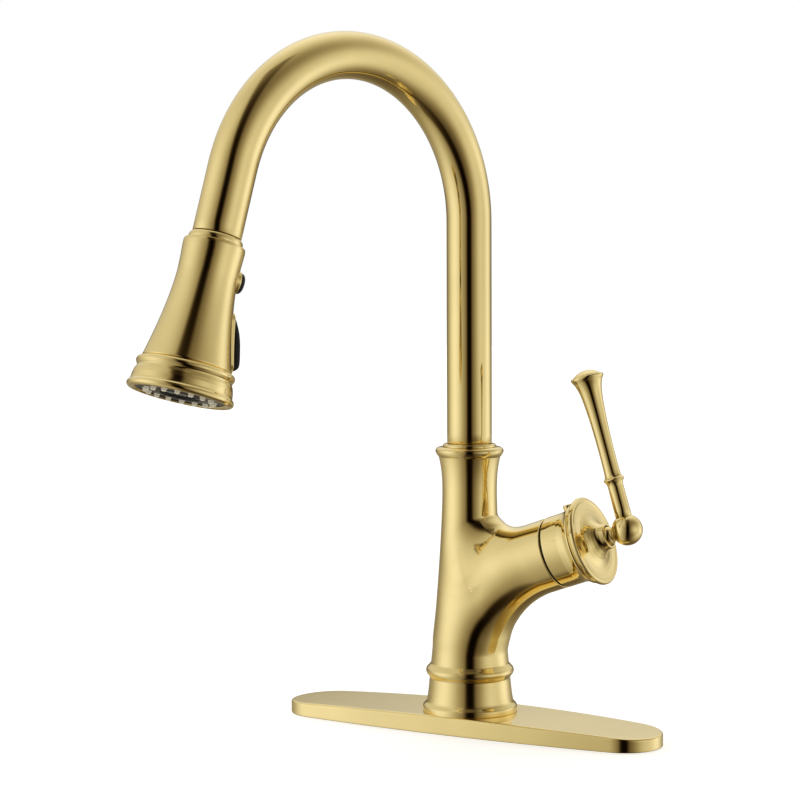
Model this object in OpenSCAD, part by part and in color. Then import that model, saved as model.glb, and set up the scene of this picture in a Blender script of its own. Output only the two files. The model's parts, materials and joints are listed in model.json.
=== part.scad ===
// Pull-down kitchen faucet with a deck plate.
// Frame: millimetres, +Z up, origin on the body axis at the top of the deck.
// +X points to the handle, -Y to the user. Two tilted frames are used below:
//   valve_frame: +Z runs out along the valve branch, -X is its upper side
//   head_frame:  +Z runs out of the spout's end, +X faces back to the riser

/* [Deck plate] */
// Length of the deck plate
plate_l = 254; // [220:1:270]
// Width of the plate at its middle
plate_w = 58.6; // [58.6:0.2:62]
// Radius of the plate's rounded ends
plate_end_r = 24; // [22:0.5:26]
// Height of the plate at its middle
plate_h = 11.2; // [10.8:0.1:12]
// Height of the plate at its ends
plate_end_h = 7.7; // [7:0.1:8.5]
// Wall of the hollow plate
plate_wall = 2; // [1.6:0.1:2.4]

/* [Body] */
// Height of the face that the body stands on
seat_z = 11; // [10.6:0.1:11]
// Radius of the body's base flange
flange_r = 29.2; // [28.8:0.1:29.2]
// Radius of the body at its waist
waist_r = 16.8; // [16.4:0.1:17.4]
// Height of the waist
waist_z = 146; // [142:1:148]
// Height of the body's top face
body_top = 174.6; // [174:0.1:175]

/* [Valve branch] */
// Height where the branch axis meets the body axis
branch_z = 91.1; // [90:0.1:92]
// Rise of the branch above the horizontal, degrees
branch_rise = 19.7; // [17:0.1:22]
// Outer radius of the branch
branch_r = 21.8; // [21.4:0.1:22]
// Distance along the branch to the joint with the hub
branch_len = 63.8; // [63:0.1:64]
// Radius of the sweep under the branch, at its centre line
sweep_r = 60; // [56:1:62]

/* [Spout] */
// Turn of the spout from straight ahead, degrees
spout_turn = -16.5; // [-90:0.5:90]
// Outer radius of the spout tube
tube_r = 13.75; // [13.4:0.05:14]
// Wall of the spout tube
tube_wall = 1.2; // [1:0.1:1.3]
// Height of the spout tube's lower end
tube_z = 176.9; // [176.9:0.1:177.5]
// Height where the arch starts
arch_z = 312.5; // [260:0.5:340]
// Radius of the arch
arch_r = 94.8; // [80:0.2:105]
// Outward tilt of the spout's end from vertical, degrees
end_tilt = 17.1; // [10:0.1:25]
// Straight length of tube after the arch
end_len = 39.7; // [39.7:0.1:42]
// Radius of the braided spray hose
hose_r = 5.25; // [4.8:0.05:5.5]

/* [Spray head] */
// Radius of the head's waist
head_waist_r = 16.8; // [16.6:0.1:17.2]
// Distance from the arch's end to the shell's lower edge
shell_end = 113.4; // [113:0.1:113.6]
// Number of rubber spray nozzles
nozzle_count = 16; // [10:1:20]
// Radius of the circle of nozzles
nozzle_ring_r = 19.2; // [18:0.1:19.6]
// Turn of the button and rocker about the head's axis, degrees
head_turn = 20; // [0:1:30]

/* [Handle] */
// Distance along the branch to the lever's pivot
pivot_s = 98.5; // [98:0.1:99]
// Distance along the branch to the centre of the ball
ball_s = 112.3; // [111:0.1:114]
// Radius of the ball
ball_r = 9.3; // [8.8:0.1:9.6]
// Angle between the lever and the branch, degrees
lever_angle = 86.6; // [80:0.1:90]

/* [Below the deck] */
// Length of the mounting shank below the deck
shank_len = 62; // [56:1:80]
// Outer radius of the mounting shank
shank_r = 15.85; // [15.8:0.01:15.85]
// Thickness of the deck that the nut clamps
deck_t = 25; // [12:1:30]

/* [Hidden] */
$fn = 72;
big_fn = 720;
eps = 0.05;
run = 0.05;

gold = [0.80, 0.68, 0.42];
dark_gold = [0.66, 0.54, 0.30];
brass_in = [0.72, 0.60, 0.32];
steel = [0.72, 0.73, 0.75];
rubber_black = [0.10, 0.10, 0.11];
plastic_white = [0.88, 0.88, 0.85];
plastic_dark = [0.20, 0.21, 0.23];
hose_grey = [0.45, 0.45, 0.47];

// deck plate: bowed long sides tangent to round ends, and a lengthwise crown
end_x = plate_l / 2 - plate_end_r;
bow_r = (end_x * end_x + plate_w * plate_w / 4 - plate_end_r * plate_end_r)
    / (plate_w - 2 * plate_end_r);
bow_x = end_x + plate_end_r * end_x / (bow_r - plate_end_r);
crown_drop = plate_h - plate_end_h;
crown_r = (plate_l * plate_l / 4 + crown_drop * crown_drop) / (2 * crown_drop);
boss_r = 26;
deck_hole_r = 17;

// body bores
shank_bore_z = 42;
press_r = 15.6;
cavity_r = 13.2;
cavity_top = 96;
hose_bore_r = 9;
swivel_r = 14;
swivel_z = 134;
stem_r = 12.2;

// three water tubes round the hose
water_tube_r = 3;
water_ring_r = 10;
nipple_r = 4.2;

// stations along the branch
chamber_r = 17.2;
chamber_s = 27;
mouth_r = 19.7;
stem_pivot_s = 58;
tail_s = pivot_s - 10;
plug_s = 79.6;

// stations along the spout's end
head_s = end_len + 0.4;
button_s = 62;
rocker_s = 95.4;
reach_s = 4;

module ring(r_out, r_in, h) {
    difference() {
        cylinder(r = r_out, h = h);
        translate([0, 0, -1]) cylinder(r = r_in, h = h + 2);
    }
}

module torus(major, minor) {
    rotate_extrude() translate([major, 0]) circle(r = minor, $fn = 32);
}

module valve_frame() {
    translate([0, 0, branch_z]) rotate([0, 90 - branch_rise, 0]) children();
}

module lever_frame() {
    valve_frame() translate([0, 0, ball_s]) rotate([0, -lever_angle, 0]) children();
}

module spout_frame() {
    rotate([0, 0, spout_turn - 90]) children();
}

module head_frame() {
    spout_frame()
        translate([arch_r * (1 + cos(end_tilt)), 0, arch_z + arch_r * sin(end_tilt)])
            rotate([0, 180 - end_tilt, 0]) rotate([0, 0, head_turn]) children();
}

// a round rod or pipe that follows the riser, the arch and the spout's end;
// the end piece is narrower or wider than the arch by a small step
module along_spout(r, low_z, end_s, step) {
    overlap = 0.5;
    spout_frame() {
        translate([0, 0, low_z]) cylinder(r = r, h = arch_z - low_z);
        translate([arch_r, 0, arch_z]) rotate([90, 0, 180])
            rotate_extrude(angle = 180 - end_tilt) translate([arch_r, 0]) circle(r = r);
    }
    head_frame() translate([0, 0, -overlap]) cylinder(r = r - step, h = end_s + overlap);
}

// ---- deck plate ----

module plate_block(inset, drop) {
    intersection() {
        union() {
            intersection() {
                translate([0, bow_r - plate_w / 2, -1])
                    cylinder(r = bow_r - inset, h = plate_h + 2, $fn = big_fn);
                translate([0, plate_w / 2 - bow_r, -1])
                    cylinder(r = bow_r - inset, h = plate_h + 2, $fn = big_fn);
                translate([-bow_x, -plate_w, -1])
                    cube([2 * bow_x, 2 * plate_w, plate_h + 2]);
            }
            for (side = [-1, 1])
                translate([side * end_x, 0, -1])
                    cylinder(r = plate_end_r - inset, h = plate_h + 2);
        }
        translate([0, plate_w, plate_h - crown_r]) rotate([90, 0, 0])
            cylinder(r = crown_r - drop, h = 2 * plate_w, $fn = 2 * big_fn);
    }
}

module deck_plate() {
    color(gold) difference() {
        intersection() {
            plate_block(0, 0);
            translate([-plate_l, -plate_w, 0]) cube([2 * plate_l, 2 * plate_w, plate_h + 1]);
        }
        difference() {
            plate_block(plate_wall, plate_wall);
            translate([0, 0, -2]) cylinder(r = boss_r, h = plate_h + 4);
        }
        translate([0, 0, -1]) cylinder(r = deck_hole_r, h = plate_h + 2);
        translate([0, 0, seat_z]) cylinder(r = flange_r + 0.05, h = 5);
    }
}

module plate_gasket() {
    gasket_h = 4;
    color(rubber_black) intersection() {
        difference() {
            plate_block(plate_wall + eps, plate_wall);
            plate_block(plate_wall + 8, -5);
            translate([0, 0, -2]) cylinder(r = boss_r + eps, h = plate_h + 4);
        }
        translate([-plate_l, -plate_w, 0]) cube([2 * plate_l, 2 * plate_w, gasket_h]);
    }
}

module base_seal() {
    color(rubber_black) translate([0, 0, seat_z + 0.76]) torus(24.5, 0.75);
}

// ---- body ----

function neck_r(z) = waist_r + 0.0098 * pow(waist_z - z, 1.42);
function flare_r(z) = waist_r + 0.0005 * pow(z - waist_z, 2.7);
function bead_r(z, mid, half, low, rise) = low + rise * sqrt(1 - pow((z - mid) / half, 2));

body_profile = concat(
    [[0, seat_z], [flange_r, seat_z], [flange_r, 13.8], [28.9, 14.6], [28.2, 15.4],
     [27.3, 16.4], [26.7, 17.8], [26.3, 20], [25, 31.6]],
    [for (z = [32.6 : 0.93 : 40.04]) [bead_r(z, 36.3, 3.9, 24.3, 2.8), z]],
    [for (z = [41.2 : 6.55 : 146]) [neck_r(z), z]],
    [for (z = [149 : 3.2 : 168.2]) [flare_r(z), z]],
    [[19.6, 169.2], [20.3, 170], [20.8, 171], [20.95, 171.9], [20.75, 172.9],
     [20, 173.8], [18.7, 174.4], [17, body_top], [0, body_top]]
);

module body_outside() {
    rotate_extrude() polygon(body_profile);
    valve_frame() cylinder(r = branch_r, h = branch_len);
    // the sweep is a bend whose centre line leaves the body axis and joins the branch
    sweep_z = branch_z - sweep_r * tan((90 - branch_rise) / 2);
    translate([sweep_r, 0, sweep_z]) rotate([90, 0, 0])
        rotate([0, 0, 90 + branch_rise])
            rotate_extrude(angle = 90 - branch_rise)
                translate([sweep_r, 0]) circle(r = branch_r - 0.4);
}

module body_casting() {
    color(gold) difference() {
        body_outside();
        translate([0, 0, seat_z - 1]) cylinder(r = press_r + eps, h = shank_bore_z - seat_z + 1);
        cylinder(r = cavity_r, h = cavity_top);
        cylinder(r = hose_bore_r, h = body_top);
        translate([0, 0, swivel_z]) cylinder(r = swivel_r, h = body_top);
        translate([0, 0, seat_z - 1]) ring(26, 23, 2.7);
        valve_frame() {
            translate([0, 0, chamber_s]) cylinder(r = chamber_r, h = branch_len);
            translate([0, 0, 60.8]) cylinder(r = mouth_r, h = branch_len);
            for (turn = [30, 150, 270])
                rotate([0, 0, turn]) translate([7, 0, 8]) cylinder(r = 2.2, h = chamber_s);
        }
    }
}

module neck_ring() {
    color(gold) rotate_extrude() polygon([
        [13.2, body_top], [16.4, body_top], [16.4, 175.7], [15.9, 176.3], [15.2, 176.55],
        [13.2, 176.55]
    ]);
}

module upper_bush() {
    color(plastic_white) translate([0, 0, 160]) ring(swivel_r - eps, stem_r + run, 14.4);
}

module lower_bush() {
    color(plastic_white) translate([0, 0, 139.4]) ring(swivel_r - eps, stem_r + run, 8);
}

// ---- below the deck ----

module mounting_shank() {
    pitch = 2;
    depth = 0.9;
    turns = floor((shank_len - deck_t - 2) / pitch);
    thread_edge = [for (i = [0 : turns - 1]) each [
        [shank_r, -deck_t - i * pitch - 0.4],
        [shank_r - depth, -deck_t - (i + 0.5) * pitch],
        [shank_r, -deck_t - (i + 1) * pitch + 0.4]
    ]];
    color(brass_in) rotate_extrude() polygon(concat(
        [[cavity_r, -shank_len], [cavity_r, 41.6], [press_r, 41.6], [press_r, 0]],
        [[shank_r, 0], [shank_r, -deck_t]],
        thread_edge,
        [[shank_r, -shank_len + 0.5], [shank_r - 0.5, -shank_len]]
    ));
}

module rubber_washer() {
    color(rubber_black) translate([0, 0, -deck_t - 3]) ring(28, 17.2, 3);
}

module steel_washer() {
    color(steel) translate([0, 0, -deck_t - 5]) ring(27, 17.2, 2);
}

module shank_nut() {
    color(brass_in) translate([0, 0, -deck_t - 17]) difference() {
        union() {
            translate([0, 0, 8]) cylinder(r = 26, h = 4);
            rotate([0, 0, 30]) cylinder(r = 23, h = 12, $fn = 6);
        }
        translate([0, 0, -1]) cylinder(r = shank_r + 0.1, h = 14);
        for (turn = [0, 120, 240])
            rotate([0, 0, turn]) translate([22.8, 0, 7]) cylinder(r = 1.95, h = 6);
    }
}

module nut_screws() {
    color(steel) for (turn = [0, 120, 240])
        rotate([0, 0, turn]) translate([22.8, 0, -deck_t - 17]) {
            translate([0, 0, -6]) difference() {
                cylinder(r = 3.4, h = 3.4);
                translate([0, 0, -1]) cylinder(r = 1.6, h = 3, $fn = 6);
            }
            translate([0, 0, -3]) cylinder(r = 1.9, h = 15);
        }
}

module water_tube(turn, low, high) {
    rotate([0, 0, turn]) translate([water_ring_r, 0, low])
        ring(water_tube_r, water_tube_r - 0.8, high - low);
}

module hot_tube() {
    color([0.75, 0.35, 0.25]) water_tube(90, -shank_len, 90);
}

module cold_tube() {
    color([0.30, 0.42, 0.70]) water_tube(210, -shank_len, 90);
}

module mixed_tube() {
    color(plastic_white) water_tube(330, -shank_len, 90);
}

module tube_spacer() {
    color(plastic_dark) for (low = [-shank_len + 2, 82]) translate([0, 0, low]) difference() {
        cylinder(r = cavity_r - eps, h = 4);
        translate([0, 0, -1]) cylinder(r = hose_r + 0.5, h = 6);
        for (turn = [90, 210, 330])
            rotate([0, 0, turn]) translate([water_ring_r, 0, -1])
                cylinder(r = water_tube_r + eps, h = 6);
    }
}

module nipple(turn) {
    rotate([0, 0, turn]) translate([water_ring_r, 0, -shank_len - 16]) {
        ring(nipple_r, 2.2, 12);
        translate([0, 0, 12]) ring(nipple_r - 0.6, 2.2, 4);
    }
}

module supply_nipples() {
    color(brass_in) {
        nipple(90);
        nipple(210);
    }
}

module outlet_nipple() {
    color(steel) nipple(330);
}

// ---- cartridge ----

module cartridge_seal() {
    color(rubber_black) valve_frame() translate([0, 0, chamber_s]) difference() {
        cylinder(r = 15, h = 2);
        for (turn = [30, 150, 270])
            rotate([0, 0, turn]) translate([7, 0, -1]) cylinder(r = 2.3, h = 4);
    }
}

module cartridge_body() {
    color(plastic_white) valve_frame() difference() {
        translate([0, 0, 29]) cylinder(r = chamber_r - eps, h = 21);
        translate([0, 0, 31]) cylinder(r = 14.8, h = 16);
        translate([0, 0, 31]) cylinder(r = 8.9, h = 20);
        for (turn = [30, 150, 270])
            rotate([0, 0, turn]) translate([7, 0, 28]) cylinder(r = 2.4, h = 4);
    }
}

module fixed_disc() {
    color([0.93, 0.92, 0.90]) valve_frame() translate([0, 0, 31]) difference() {
        cylinder(r = 14.7, h = 3.4);
        for (turn = [30, 150, 270])
            rotate([0, 0, turn]) translate([7, 0, -1]) cylinder(r = 2.4, h = 6);
    }
}

module cartridge_nut() {
    color(brass_in) valve_frame() translate([0, 0, 50]) difference() {
        cylinder(r = chamber_r - eps, h = 10.4);
        translate([0, 0, -1]) cylinder(r = 9, h = 13);
        translate([0, 0, 5]) cylinder(r = 13.5, h = 6, $fn = 8);
    }
}

module hub_bush() {
    color(plastic_white) valve_frame() translate([0, 0, 60.8]) {
        ring(mouth_r - eps, 17.4, 3);
        ring(mouth_r - 0.35, 17.4, 4.8);
    }
}

// ---- spout ----

module spout_tube() {
    color(gold) difference() {
        along_spout(tube_r, tube_z, end_len, 0.05);
        along_spout(tube_r - tube_wall, tube_z - 1, end_len + 1, -0.05);
    }
}

module spout_stem() {
    clip_z = 137.4;
    color(brass_in) difference() {
        union() {
            translate([0, 0, 135.4]) cylinder(r = stem_r, h = 41.3);
            translate([0, 0, 176.6]) cylinder(r = tube_r - tube_wall - eps, h = 20);
        }
        translate([0, 0, 130]) cylinder(r = 7.4, h = 70);
        for (z = [151, 156])
            translate([0, 0, z - 1.5]) ring(stem_r + 1, 11, 3);
        translate([0, 0, clip_z]) ring(stem_r + 1, 11.2, 1.3);
    }
}

module stem_orings() {
    color(rubber_black) for (z = [151, 156])
        translate([0, 0, z]) torus(12.3, 1.25);
}

module stem_clip() {
    color(steel) translate([0, 0, 137.45]) difference() {
        ring(13.4, 11.25, 1.2);
        translate([8, -3, -1]) cube([8, 6, 4]);
    }
}

module dock_insert() {
    color(plastic_dark) head_frame() translate([0, 0, 18]) difference() {
        cylinder(r = tube_r - tube_wall - eps, h = 15);
        translate([0, 0, -1]) cylinder(r = hose_r + 1.05, h = 17);
        translate([0, 0, 11.5]) cylinder(r = 11, h = 4);
    }
}

module dock_magnet() {
    color(steel) head_frame() translate([0, 0, 29.6]) ring(10.9, 7, 3.2);
}

module spray_hose() {
    hose_low = -shank_len - 18;
    color(hose_grey) along_spout(hose_r, hose_low, reach_s, 0.05);
}

module hose_coupler() {
    color(plastic_dark) translate([0, 0, -shank_len - 40]) union() {
        cylinder(r = 4.4, h = 6);
        translate([0, 0, 6]) cylinder(r = 5.2, h = 16);
    }
}

// ---- hose end ----

module hose_connector() {
    color(brass_in) head_frame() difference() {
        union() {
            translate([0, 0, 35]) cylinder(r = 6.6, h = 14);
            translate([0, 0, 49]) sphere(r = 6.6);
        }
        translate([0, 0, 34]) cylinder(r = hose_r + eps, h = 9);
        translate([0, 0, 42]) cylinder(r = 2.6, h = 16);
    }
}

module hose_reach() {
    color(hose_grey) head_frame() translate([0, 0, reach_s + 0.1])
        cylinder(r = hose_r, h = 38.8);
}

// ---- spray head ----

function trumpet_r(s) = head_waist_r + 0.015 * pow(max(s - 61.7, 0), 1.6);

module head_collar() {
    color(gold) head_frame() difference() {
        union() {
            rotate_extrude() polygon([
                [0, head_s], [13.7, head_s], [14.5, 40.7], [15.05, 41.6], [15.25, 42.7],
                [15.25, 43.9], [14.9, 43.9], [14.9, 55], [0, 55]
            ]);
            translate([0, 0, 33.8]) cylinder(r = 11.8, h = 8);
        }
        translate([0, 0, 33]) cylinder(r = 7.3, h = 24);
        translate([0, 0, 33]) cylinder(r = 11.1, h = 4.3);
    }
}

module head_magnet() {
    color(steel) head_frame() translate([0, 0, 34]) ring(11, 7.6, 3.2);
}

module head_openings() {
    translate([0, 0, button_s]) rotate([0, 90, 0]) cylinder(r = 6.95, h = 40);
    translate([10, -6.6, rocker_s - 16.5]) cube([30, 13.2, 33]);
}

shell_out = concat(
    [[15.4, 43.9], [16.6, 44.2], [17.15, 44.9], [17.3, 46.2], [17.2, 49], [16.95, 55]],
    [for (s = [61.7 : 4.7 : 108.7]) [trumpet_r(s), s]],
    [[trumpet_r(shell_end), shell_end]]
);
shell_in = concat(
    [[trumpet_r(shell_end) - 1.5, shell_end]],
    [for (s = [108.7 : -4.7 : 61.7]) [trumpet_r(s) - 1.5, s]],
    [[15, 57], [15, 43.9]]
);

module head_shell() {
    color(gold) head_frame() difference() {
        rotate_extrude() polygon(concat(shell_out, shell_in));
        head_openings();
    }
}

module face_ring() {
    color(gold) head_frame() rotate_extrude() polygon([
        [22.8, 112], [trumpet_r(112) - 1.6, 112], [trumpet_r(shell_end) - 1.6, shell_end],
        [25, 113.6], [26.3, 114.2], [27.2, 115.1], [27.5, 116.05], [27.3, 117], [26.7, 117.9],
        [26.35, 118.7], [27, 120.2], [27.8, 122.6], [28.3, 125], [28.5, 127.2], [29.3, 128],
        [29.8, 129.2], [29.6, 130.4], [28.7, 131.3], [27, 131.6], [25.6, 131.1],
        [24.9, 130.1], [24.9, 124.2], [22.8, 124.2]
    ]);
}

module spray_core() {
    color(plastic_white) head_frame() difference() {
        rotate_extrude() polygon([
            [0, 55.1], [11, 55.1], [11, 104], [13, 107], [22.6, 112.5], [22.6, 123.4],
            [0, 123.4]
        ]);
        translate([0, 0, 54]) cylinder(r = 3.5, h = 63);
        translate([0, 0, 116.5]) cylinder(r = 20, h = 8);
        translate([9.6, 0, button_s]) rotate([0, 90, 0]) cylinder(r = 7.1, h = 30);
        translate([7.5, -6.8, rocker_s - 17]) cube([30, 13.6, 34]);
    }
}

module spray_face() {
    color(plastic_dark) head_frame() difference() {
        union() {
            translate([0, 0, 127]) cylinder(r = 24.8, h = 3.8);
            translate([0, 0, 124.3]) ring(24.8, 23.2, 3.3);
        }
        translate([0, 0, 126]) cylinder(r = 11, h = 6);
        for (i = [0 : nozzle_count - 1])
            rotate([0, 0, i * 360 / nozzle_count]) translate([nozzle_ring_r, 0, 126])
                cylinder(r = 1.75, h = 6);
    }
}

module spray_nozzles() {
    color(plastic_white) head_frame() {
        translate([0, 0, 123.5]) ring(22.7, 11.2, 3.5);
        for (i = [0 : nozzle_count - 1])
            rotate([0, 0, i * 360 / nozzle_count]) translate([nozzle_ring_r, 0, 126.4])
                cylinder(r1 = 1.7, r2 = 1.45, h = 6.4);
    }
}

module aerator_housing() {
    color(plastic_dark) head_frame() difference() {
        translate([0, 0, 123.5]) cylinder(r = 10.9, h = 7);
        translate([0, 0, 122]) cylinder(r = 8, h = 10);
        translate([0, 0, 128.4]) cylinder(r = 9.2, h = 4);
    }
}

module aerator_screen() {
    slot_pitch = 2.4;
    color(steel) head_frame() difference() {
        translate([0, 0, 128.4]) cylinder(r = 9.1, h = 0.8);
        for (i = [-3 : 3])
            translate([i * slot_pitch - 0.5, -6, 127.4])
                cube([1, 12, 3]);
    }
}

module button_bezel() {
    color(gold) head_frame() translate([0, 0, button_s]) rotate([0, 90, 0]) difference() {
        translate([0, 0, 13]) cylinder(r = 6.9, h = 5.8);
        translate([0, 0, 12]) cylinder(r = 6.2, h = 10);
    }
}

// outer face line of the rocker opening, on the riser side of the head
module rocker_slab(half_w, low, high, deep, proud) {
    rotate([90, 0, 0]) linear_extrude(height = 2 * half_w, center = true)
        polygon(concat(
            [for (s = [low : (high - low) / 6 : high + 0.01]) [trumpet_r(s) + proud, s]],
            [for (s = [high : (low - high) / 6 : low - 0.01]) [trumpet_r(s) - deep, s]]
        ));
}

module rocker_bezel() {
    color(gold) head_frame() difference() {
        rocker_slab(6.5, rocker_s - 16.4, rocker_s + 16.4, 3, 0.6);
        rocker_slab(5.3, rocker_s - 15.2, rocker_s + 15.2, 5, 3);
        translate([0, 0, rocker_s]) translate([trumpet_r(rocker_s) - 2, 0, 0])
            rotate([90, 0, 0]) cylinder(r = 1.05, h = 20, center = true);
    }
}

module rocker_pin() {
    color(steel) head_frame() translate([trumpet_r(rocker_s) - 2, 0, rocker_s])
        rotate([90, 0, 0]) cylinder(r = 1, h = 12.6, center = true);
}

module pause_button() {
    color(rubber_black) head_frame() translate([0, 0, button_s]) rotate([0, 90, 0]) {
        translate([0, 0, 15.4]) cylinder(r = 5.85, h = 3.8);
        translate([0, 0, 19.2]) intersection() {
            translate([0, 0, -11.4]) sphere(r = 13);
            cylinder(r = 5.85, h = 2);
        }
    }
}

module spring_coil(r, wire, pitch, turns) {
    per_turn = 16;
    sides = 6;
    steps = per_turn * turns;
    points = [for (i = [0 : steps]) for (j = [0 : sides - 1])
        let (a = i * 360 / per_turn, b = j * 360 / sides, rr = r + wire * cos(b))
        [rr * cos(a), rr * sin(a), i * pitch / per_turn + wire * sin(b)]];
    faces = concat(
        [[for (j = [0 : sides - 1]) j]],
        [for (i = [0 : steps - 1]) for (j = [0 : sides - 1])
            let (k = (j + 1) % sides)
            [i * sides + j, (i + 1) * sides + j, (i + 1) * sides + k, i * sides + k]],
        [[for (j = [sides - 1 : -1 : 0]) steps * sides + j]]
    );
    polyhedron(points = points, faces = faces, convexity = 6);
}

module button_spring() {
    color(steel) head_frame() translate([10, 0, button_s]) rotate([0, 90, 0])
        spring_coil(2.6, 0.35, 1.6, 3);
}

// height of the rocker above the shell, from its upper end to its lower end
rocker_rise = [1.3, 2.8, 4.1, 4.9, 5.3, 5.4, 5.4, 5, 2.8];

module mode_rocker() {
    color(rubber_black) head_frame() difference() {
        union() {
            rotate([90, 0, 0]) linear_extrude(height = 9.8, center = true)
                polygon(concat(
                    [for (i = [0 : 8]) let (s = rocker_s - 14.6 + i * 3.65)
                        [trumpet_r(s) + rocker_rise[i], s]],
                    [for (i = [8 : -1 : 0]) let (s = rocker_s - 14.6 + i * 3.65)
                        [trumpet_r(s) - 0.6, s]]
                ));
            translate([trumpet_r(rocker_s) - 2, 0, rocker_s])
                rotate([90, 0, 0]) cylinder(r = 2.4, h = 9.8, center = true);
        }
        translate([trumpet_r(rocker_s) - 2, 0, rocker_s])
            rotate([90, 0, 0]) cylinder(r = 1 + run, h = 12, center = true);
    }
}

// ---- handle ----

hub_profile = [
    [mouth_r, 64.5], [21.4, 64.5], [21.9, 65.1], [21.9, 76.5], [22.1, 78.2], [22.7, 80.2],
    [23.6, 82.2], [24.7, 83.6], [24.9, 84.6], [24.5, 85.4], [24.1, 85.6], [24.1, 86.2],
    [26.3, 86.9],
    [27, 87.8], [27, 89.5], [26.4, 90.2], [24, 90], [20, 89.7], [17, 89.8], [14.5, 90.3],
    [12.4, 91.3], [10.7, 92.8], [9.4, 94.8], [8.5, 97], [8.1, 99.6], [7.6, 100.3],
    [6.25, 100.3], [6.25, 96], [7.1, 94.8], [8.6, 92.2], [10.8, 90.2], [14, 88.7],
    [17.5, 88.1], [mouth_r, 86.6]
];

module handle_hub() {
    color(gold) valve_frame() difference() {
        rotate_extrude() polygon(hub_profile);
        translate([0, 0, plug_s]) rotate([0, -90, 0]) cylinder(r = 2.85, h = 30);
        translate([0, 0, pivot_s]) rotate([90, 0, 0]) cylinder(r = 1.1, h = 15.2, center = true);
    }
}

module hub_plug() {
    color(gold) valve_frame() translate([0, 0, plug_s]) rotate([0, -90, 0]) difference() {
        translate([0, 0, 20]) cylinder(r = 2.8, h = 5.4);
        translate([0, 0, 24.2]) cylinder(r = 1.3, h = 4, $fn = 6);
    }
}

module hub_yoke() {
    color(brass_in) valve_frame() translate([0, 0, 66]) difference() {
        cylinder(r = mouth_r - eps, h = 13);
        translate([0, 0, -1]) cylinder(r = 7, h = 15);
        translate([0, 0, 5]) cylinder(r = 9.4, h = 10);
    }
}

module stem_carrier() {
    color(plastic_dark) valve_frame() difference() {
        union() {
            translate([0, 0, 38.7]) cylinder(r = 12.6, h = 7.8);
            translate([0, 0, 46.5]) cylinder(r = 8.5, h = 19.5);
        }
        translate([0, 0, 38]) cylinder(r = 6.6, h = 15);
        translate([0, 0, 52]) cylinder(r = 4.8, h = 9);
        translate([0, 0, 60]) cylinder(r = 6.4, h = 8);
        translate([0, 0, stem_pivot_s]) rotate([90, 0, 0])
            cylinder(r = 1.2, h = 30, center = true);
    }
}

module stem_pin() {
    color(steel) valve_frame() translate([0, 0, stem_pivot_s]) rotate([90, 0, 0])
        cylinder(r = 1.2, h = 16.6, center = true);
}

module pivot_pin() {
    color(steel) valve_frame() translate([0, 0, pivot_s]) rotate([90, 0, 0])
        cylinder(r = 1.1, h = 15, center = true);
}

module moving_disc() {
    color([0.93, 0.92, 0.90]) valve_frame() translate([0, 0, 34.5]) difference() {
        translate([-1.45, 0, 0]) cylinder(r = 11.2, h = 3.7);
        translate([0, 0, 1.2]) cylinder(r = 3.2, h = 4);
    }
}

module cartridge_stem() {
    color(steel) valve_frame() difference() {
        union() {
            translate([0, 0, 36.8]) cylinder(r = 2.2, h = 6);
            translate([0, 0, 42]) cylinder(r = 3, h = 43);
            translate([0, 0, stem_pivot_s]) sphere(r = 4);
            translate([0, 0, 84.5]) ring(4.3, 3, 5);
            translate([0, 0, 83.5]) cylinder(r = 4.3, h = 1.6);
        }
        translate([0, 0, stem_pivot_s]) rotate([90, 0, 0])
            cylinder(r = 1.2 + run, h = 30, center = true);
    }
}

module lever_ball() {
    color(gold) {
        difference() {
            valve_frame() {
                translate([0, 0, ball_s]) sphere(r = ball_r);
                translate([0, 0, pivot_s]) cylinder(r = 4.2, h = ball_s - pivot_s);
                translate([0, 0, pivot_s]) sphere(r = 5.85);
                translate([0, 0, tail_s]) cylinder(r = 1.7, h = 10);
                translate([0, 0, tail_s]) sphere(r = 2.4);
            }
            valve_frame() translate([0, 0, pivot_s]) rotate([90, 0, 0])
                cylinder(r = 1.1 + run, h = 30, center = true);
            lever_frame() {
                translate([0, 0, 7.3]) cylinder(r = 4.9 + eps, h = 10);
                translate([0, 0, 2.5]) cylinder(r = 3, h = 10);
            }
        }
    }
}

lever_profile = [
    [0, 3], [2.95, 3], [2.95, 7.4], [4.9, 7.4], [4.75, 20], [4.7, 27.6], [5.1, 29],
    [5.9, 30.2], [6.2, 30.8], [5.9, 31.4], [5.1, 32.6], [4.8, 34], [4.65, 42], [4.7, 51],
    [4.95, 61], [5.35, 70], [5.95, 78], [6.7, 84], [7.6, 88], [8.7, 91], [9.65, 92.7],
    [9.95, 93.4], [9.8, 94.1], [9, 94.4], [0, 94.4]
];

module lever_rod() {
    color(gold) lever_frame() rotate_extrude() polygon(lever_profile);
}

module lever_tip() {
    tip_r = 11;
    color(gold) lever_frame() translate([0, 0, 94.4]) intersection() {
        translate([0, 0, 3.6 - tip_r]) sphere(r = tip_r);
        cylinder(r = 9, h = 5);
    }
}

deck_plate();
plate_gasket();
base_seal();
body_casting();
neck_ring();
upper_bush();
lower_bush();
mounting_shank();
rubber_washer();
steel_washer();
shank_nut();
nut_screws();
hot_tube();
cold_tube();
mixed_tube();
tube_spacer();
supply_nipples();
outlet_nipple();
cartridge_seal();
cartridge_body();
fixed_disc();
cartridge_nut();
hub_bush();
spout_tube();
spout_stem();
stem_orings();
stem_clip();
dock_insert();
dock_magnet();
spray_hose();
hose_coupler();
hose_connector();
hose_reach();
head_collar();
head_magnet();
head_shell();
face_ring();
spray_core();
spray_face();
spray_nozzles();
aerator_housing();
aerator_screen();
button_bezel();
rocker_bezel();
rocker_pin();
pause_button();
button_spring();
mode_rocker();
handle_hub();
hub_plug();
hub_yoke();
stem_carrier();
stem_pin();
pivot_pin();
moving_disc();
cartridge_stem();
lever_ball();
lever_rod();
lever_tip();
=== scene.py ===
import json
import math

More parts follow.
